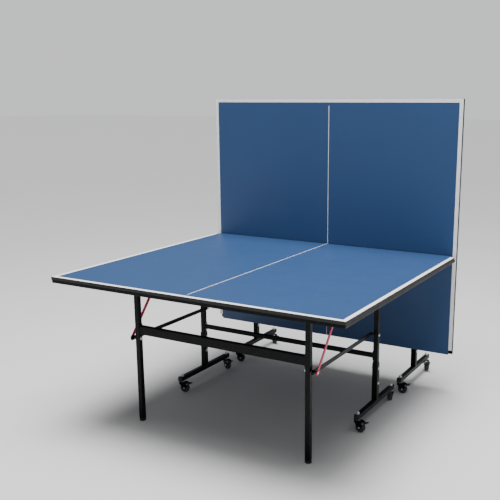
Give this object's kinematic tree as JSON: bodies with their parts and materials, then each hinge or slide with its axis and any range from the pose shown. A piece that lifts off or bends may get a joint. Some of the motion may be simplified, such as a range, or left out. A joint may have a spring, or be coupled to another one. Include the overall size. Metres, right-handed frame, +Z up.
{
  "type": "table tennis table",
  "caption": "Two-piece folding table tennis table on wheeled carriages, one half flat for play and the other raised upright as a rebound wall.",
  "frame": {"origin": "on the floor, under the middle of the whole table in playback position", "axes": "+X across the table to the right of a player who faces the raised half, +Y from the flat half's end line towards the raised half, +Z up"},
  "size_m": [1.525, 1.677, 1.577],
  "materials": {
    "board_blue": "satin painted fibreboard",
    "frame_black": "satin black powder coat",
    "lock_red": "satin red powder coat",
    "zinc": "zinc plated",
    "wheel_rubber": "moulded grey-black rubber",
    "pedal_plastic": "moulded black nylon",
    "foot_rubber": "moulded rubber"
  },
  "bodies": {
    "front_carriage": {"front_uprights": "frame_black", "front_floor_frames": "frame_black", "front_crossbeam": "frame_black", "front_carriage_bolts": "zinc"},
    "front_top": {"front_board": "board_blue", "front_edge_frame": "frame_black", "front_hinge_brackets": "frame_black", "front_top_bolts": "zinc"},
    "front_legs": {"front_left_leg": "frame_black", "front_right_leg": "frame_black", "front_leg_panel": "frame_black", "front_leg_bolts": "zinc"},
    "front_left_foot": {"front_left_foot": "foot_rubber"},
    "front_left_stay": {"front_left_stay": "frame_black"},
    "front_left_lock_bar": {"front_left_lock_bar": "lock_red"},
    "front_left_outer_fork": {"front_left_outer_fork": "frame_black"},
    "front_left_outer_wheel": {"front_left_outer_wheel": "wheel_rubber"},
    "front_left_outer_pedal": {"front_left_outer_pedal": "pedal_plastic"},
    "front_left_inner_fork": {"front_left_inner_fork": "frame_black"},
    "front_left_inner_wheel": {"front_left_inner_wheel": "wheel_rubber"},
    "front_left_inner_pedal": {"front_left_inner_pedal": "pedal_plastic"},
    "front_right_foot": {"front_right_foot": "foot_rubber"},
    "front_right_stay": {"front_right_stay": "frame_black"},
    "front_right_lock_bar": {"front_right_lock_bar": "lock_red"},
    "front_right_outer_fork": {"front_right_outer_fork": "frame_black"},
    "front_right_outer_wheel": {"front_right_outer_wheel": "wheel_rubber"},
    "front_right_outer_pedal": {"front_right_outer_pedal": "pedal_plastic"},
    "front_right_inner_fork": {"front_right_inner_fork": "frame_black"},
    "front_right_inner_wheel": {"front_right_inner_wheel": "wheel_rubber"},
    "front_right_inner_pedal": {"front_right_inner_pedal": "pedal_plastic"},
    "rear_carriage": {"rear_uprights": "frame_black", "rear_floor_frames": "frame_black", "rear_crossbeam": "frame_black", "rear_carriage_bolts": "zinc"},
    "rear_top": {"rear_board": "board_blue", "rear_edge_frame": "frame_black", "rear_hinge_brackets": "frame_black", "rear_top_bolts": "zinc"},
    "rear_legs": {"rear_left_leg": "frame_black", "rear_right_leg": "frame_black", "rear_leg_panel": "frame_black", "rear_leg_bolts": "zinc"},
    "rear_left_foot": {"rear_left_foot": "foot_rubber"},
    "rear_left_stay": {"rear_left_stay": "frame_black"},
    "rear_left_lock_bar": {"rear_left_lock_bar": "lock_red"},
    "rear_left_outer_fork": {"rear_left_outer_fork": "frame_black"},
    "rear_left_outer_wheel": {"rear_left_outer_wheel": "wheel_rubber"},
    "rear_left_outer_pedal": {"rear_left_outer_pedal": "pedal_plastic"},
    "rear_left_inner_fork": {"rear_left_inner_fork": "frame_black"},
    "rear_left_inner_wheel": {"rear_left_inner_wheel": "wheel_rubber"},
    "rear_left_inner_pedal": {"rear_left_inner_pedal": "pedal_plastic"},
    "rear_right_foot": {"rear_right_foot": "foot_rubber"},
    "rear_right_stay": {"rear_right_stay": "frame_black"},
    "rear_right_lock_bar": {"rear_right_lock_bar": "lock_red"},
    "rear_right_outer_fork": {"rear_right_outer_fork": "frame_black"},
    "rear_right_outer_wheel": {"rear_right_outer_wheel": "wheel_rubber"},
    "rear_right_outer_pedal": {"rear_right_outer_pedal": "pedal_plastic"},
    "rear_right_inner_fork": {"rear_right_inner_fork": "frame_black"},
    "rear_right_inner_wheel": {"rear_right_inner_wheel": "wheel_rubber"},
    "rear_right_inner_pedal": {"rear_right_inner_pedal": "pedal_plastic"}
  },
  "joints": [
    {"name": "front_fold", "type": "hinge", "parent": "front_carriage", "child": "front_top", "pos_m": [0, 0.0385, 0.7], "axis": [-1, 0, 0], "range_deg": [0, 90]},
    {"name": "front_legs_fold", "type": "hinge", "parent": "front_top", "child": "front_legs", "pos_m": [0, -0.5785, 0.7], "axis": [-1, 0, 0], "range_deg": [-91, 1]},
    {"name": "front_left_foot_screw", "type": "slide", "parent": "front_legs", "child": "front_left_foot", "axis": [0, 0, -1], "range_m": [0, 0.012]},
    {"name": "front_left_stay_swing", "type": "hinge", "parent": "front_carriage", "child": "front_left_stay", "pos_m": [-0.4985, 0.0385, 0.43], "axis": [-1, 0, 0], "range_deg": [-1, 91]},
    {"name": "front_left_lock_lift", "type": "hinge", "parent": "front_top", "child": "front_left_lock_bar", "pos_m": [-0.513, -0.34187, 0.712], "axis": [-1, 0, 0], "range_deg": [-1, 51]},
    {"name": "front_left_outer_swivel", "type": "hinge", "parent": "front_carriage", "child": "front_left_outer_fork", "pos_m": [-0.527, -0.1745, 0.064], "axis": [0, 0, 1], "continuous": true},
    {"name": "front_left_outer_roll", "type": "hinge", "parent": "front_left_outer_fork", "child": "front_left_outer_wheel", "pos_m": [-0.51116, -0.17227, 0.025], "axis": [-0.1392, 0.9903, 0], "continuous": true},
    {"name": "front_left_outer_brake", "type": "hinge", "parent": "front_left_outer_fork", "child": "front_left_outer_pedal", "pos_m": [-0.49333, -0.16977, 0.05], "axis": [-0.1392, 0.9903, 0], "range_deg": [0, 14]},
    {"name": "front_left_inner_swivel", "type": "hinge", "parent": "front_carriage", "child": "front_left_inner_fork", "pos_m": [-0.527, 0.2515, 0.064], "axis": [0, 0, 1], "continuous": true},
    {"name": "front_left_inner_roll", "type": "hinge", "parent": "front_left_inner_fork", "child": "front_left_inner_wheel", "pos_m": [-0.51197, 0.24603, 0.025], "axis": [0.342, 0.9397, 0], "continuous": true},
    {"name": "front_left_inner_brake", "type": "hinge", "parent": "front_left_inner_fork", "child": "front_left_inner_pedal", "pos_m": [-0.49505, 0.23987, 0.05], "axis": [0.342, 0.9397, 0], "range_deg": [0, 14]},
    {"name": "front_right_foot_screw", "type": "slide", "parent": "front_legs", "child": "front_right_foot", "axis": [0, 0, -1], "range_m": [0, 0.012]},
    {"name": "front_right_stay_swing", "type": "hinge", "parent": "front_carriage", "child": "front_right_stay", "pos_m": [0.4985, 0.0385, 0.43], "axis": [-1, 0, 0], "range_deg": [-1, 91]},
    {"name": "front_right_lock_lift", "type": "hinge", "parent": "front_top", "child": "front_right_lock_bar", "pos_m": [0.513, -0.34187, 0.712], "axis": [-1, 0, 0], "range_deg": [-1, 51]},
    {"name": "front_right_outer_swivel", "type": "hinge", "parent": "front_carriage", "child": "front_right_outer_fork", "pos_m": [0.527, -0.1745, 0.064], "axis": [0, 0, 1], "continuous": true},
    {"name": "front_right_outer_roll", "type": "hinge", "parent": "front_right_outer_fork", "child": "front_right_outer_wheel", "pos_m": [0.54284, -0.17673, 0.025], "axis": [0.1392, 0.9903, 0], "continuous": true},
    {"name": "front_right_outer_brake", "type": "hinge", "parent": "front_right_outer_fork", "child": "front_right_outer_pedal", "pos_m": [0.56067, -0.17923, 0.05], "axis": [0.1392, 0.9903, 0], "range_deg": [0, 14]},
    {"name": "front_right_inner_swivel", "type": "hinge", "parent": "front_carriage", "child": "front_right_inner_fork", "pos_m": [0.527, 0.2515, 0.064], "axis": [0, 0, 1], "continuous": true},
    {"name": "front_right_inner_roll", "type": "hinge", "parent": "front_right_inner_fork", "child": "front_right_inner_wheel", "pos_m": [0.51782, 0.26461, 0.025], "axis": [-0.8192, -0.5736, 0], "continuous": true},
    {"name": "front_right_inner_brake", "type": "hinge", "parent": "front_right_inner_fork", "child": "front_right_inner_pedal", "pos_m": [0.5075, 0.27935, 0.05], "axis": [-0.8192, -0.5736, 0], "range_deg": [0, 14]},
    {"name": "rear_fold", "type": "hinge", "parent": "rear_carriage", "child": "rear_top", "pos_m": [0, 0.6025, 0.7], "axis": [-1, 0, 0], "range_deg": [0, 90]},
    {"name": "rear_legs_fold", "type": "hinge", "parent": "rear_top", "child": "rear_legs", "pos_m": [0, 0.6025, 1.317], "axis": [-1, 0, 0], "range_deg": [-91, 1]},
    {"name": "rear_left_foot_screw", "type": "slide", "parent": "rear_legs", "child": "rear_left_foot", "axis": [0, 0, -1], "range_m": [0, 0.012]},
    {"name": "rear_left_stay_swing", "type": "hinge", "parent": "rear_carriage", "child": "rear_left_stay", "pos_m": [-0.4985, 0.6025, 0.43], "axis": [-1, 0, 0], "range_deg": [-1, 91]},
    {"name": "rear_left_lock_lift", "type": "hinge", "parent": "rear_top", "child": "rear_left_lock_bar", "pos_m": [-0.513, 0.5905, 1.08037], "axis": [-1, 0, 0], "range_deg": [-1, 51]},
    {"name": "rear_left_outer_swivel", "type": "hinge", "parent": "rear_carriage", "child": "rear_left_outer_fork", "pos_m": [-0.527, 0.8155, 0.064], "axis": [0, 0, 1], "continuous": true},
    {"name": "rear_left_outer_roll", "type": "hinge", "parent": "rear_left_outer_fork", "child": "rear_left_outer_wheel", "pos_m": [-0.51389, 0.80632, 0.025], "axis": [0.5736, 0.8192, 0], "continuous": true},
    {"name": "rear_left_outer_brake", "type": "hinge", "parent": "rear_left_outer_fork", "child": "rear_left_outer_pedal", "pos_m": [-0.49915, 0.796, 0.05], "axis": [0.5736, 0.8192, 0], "range_deg": [0, 14]},
    {"name": "rear_left_inner_swivel", "type": "hinge", "parent": "rear_carriage", "child": "rear_left_inner_fork", "pos_m": [-0.527, 0.3895, 0.064], "axis": [0, 0, 1], "continuous": true},
    {"name": "rear_left_inner_roll", "type": "hinge", "parent": "rear_left_inner_fork", "child": "rear_left_inner_wheel", "pos_m": [-0.51197, 0.39497, 0.025], "axis": [-0.342, 0.9397, 0], "continuous": true},
    {"name": "rear_left_inner_brake", "type": "hinge", "parent": "rear_left_inner_fork", "child": "rear_left_inner_pedal", "pos_m": [-0.49505, 0.40113, 0.05], "axis": [-0.342, 0.9397, 0], "range_deg": [0, 14]},
    {"name": "rear_right_foot_screw", "type": "slide", "parent": "rear_legs", "child": "rear_right_foot", "axis": [0, 0, -1], "range_m": [0, 0.012]},
    {"name": "rear_right_stay_swing", "type": "hinge", "parent": "rear_carriage", "child": "rear_right_stay", "pos_m": [0.4985, 0.6025, 0.43], "axis": [-1, 0, 0], "range_deg": [-1, 91]},
    {"name": "rear_right_lock_lift", "type": "hinge", "parent": "rear_top", "child": "rear_right_lock_bar", "pos_m": [0.513, 0.5905, 1.08037], "axis": [-1, 0, 0], "range_deg": [-1, 51]},
    {"name": "rear_right_outer_swivel", "type": "hinge", "parent": "rear_carriage", "child": "rear_right_outer_fork", "pos_m": [0.527, 0.8155, 0.064], "axis": [0, 0, 1], "continuous": true},
    {"name": "rear_right_outer_roll", "type": "hinge", "parent": "rear_right_outer_fork", "child": "rear_right_outer_wheel", "pos_m": [0.53618, 0.80239, 0.025], "axis": [0.8192, 0.5736, 0], "continuous": true},
    {"name": "rear_right_outer_brake", "type": "hinge", "parent": "rear_right_outer_fork", "child": "rear_right_outer_pedal", "pos_m": [0.5465, 0.78765, 0.05], "axis": [0.8192, 0.5736, 0], "range_deg": [0, 14]},
    {"name": "rear_right_inner_swivel", "type": "hinge", "parent": "rear_carriage", "child": "rear_right_inner_fork", "pos_m": [0.527, 0.3895, 0.064], "axis": [0, 0, 1], "continuous": true},
    {"name": "rear_right_inner_roll", "type": "hinge", "parent": "rear_right_inner_fork", "child": "rear_right_inner_wheel", "pos_m": [0.54296, 0.39062, 0.025], "axis": [-0.0698, 0.9976, 0], "continuous": true},
    {"name": "rear_right_inner_brake", "type": "hinge", "parent": "rear_right_inner_fork", "child": "rear_right_inner_pedal", "pos_m": [0.56092, 0.39187, 0.05], "axis": [-0.0698, 0.9976, 0], "range_deg": [0, 14]},
    {"name": "rear_carriage_roll", "type": "slide", "parent": "front_carriage", "child": "rear_carriage", "axis": [0, 1, 0], "range_m": [-0.001, 0.462]}
  ],
  "couplings": [
    {"joint": "front_legs_fold", "follows": "front_fold", "ratio": -1},
    {"joint": "front_left_stay_swing", "follows": "front_fold", "ratio": 1},
    {"joint": "front_left_lock_lift", "follows": "front_fold", "ratio": 0.55556},
    {"joint": "front_right_stay_swing", "follows": "front_fold", "ratio": 1},
    {"joint": "front_right_lock_lift", "follows": "front_fold", "ratio": 0.55556},
    {"joint": "rear_legs_fold", "follows": "rear_fold", "ratio": -1},
    {"joint": "rear_left_stay_swing", "follows": "rear_fold", "ratio": 1},
    {"joint": "rear_left_lock_lift", "follows": "rear_fold", "ratio": 0.55556},
    {"joint": "rear_right_stay_swing", "follows": "rear_fold", "ratio": 1},
    {"joint": "rear_right_lock_lift", "follows": "rear_fold", "ratio": 0.55556},
    {"joint": "rear_carriage_roll", "follows": "rear_fold", "m_per_rad": 0.29285}
  ]
}
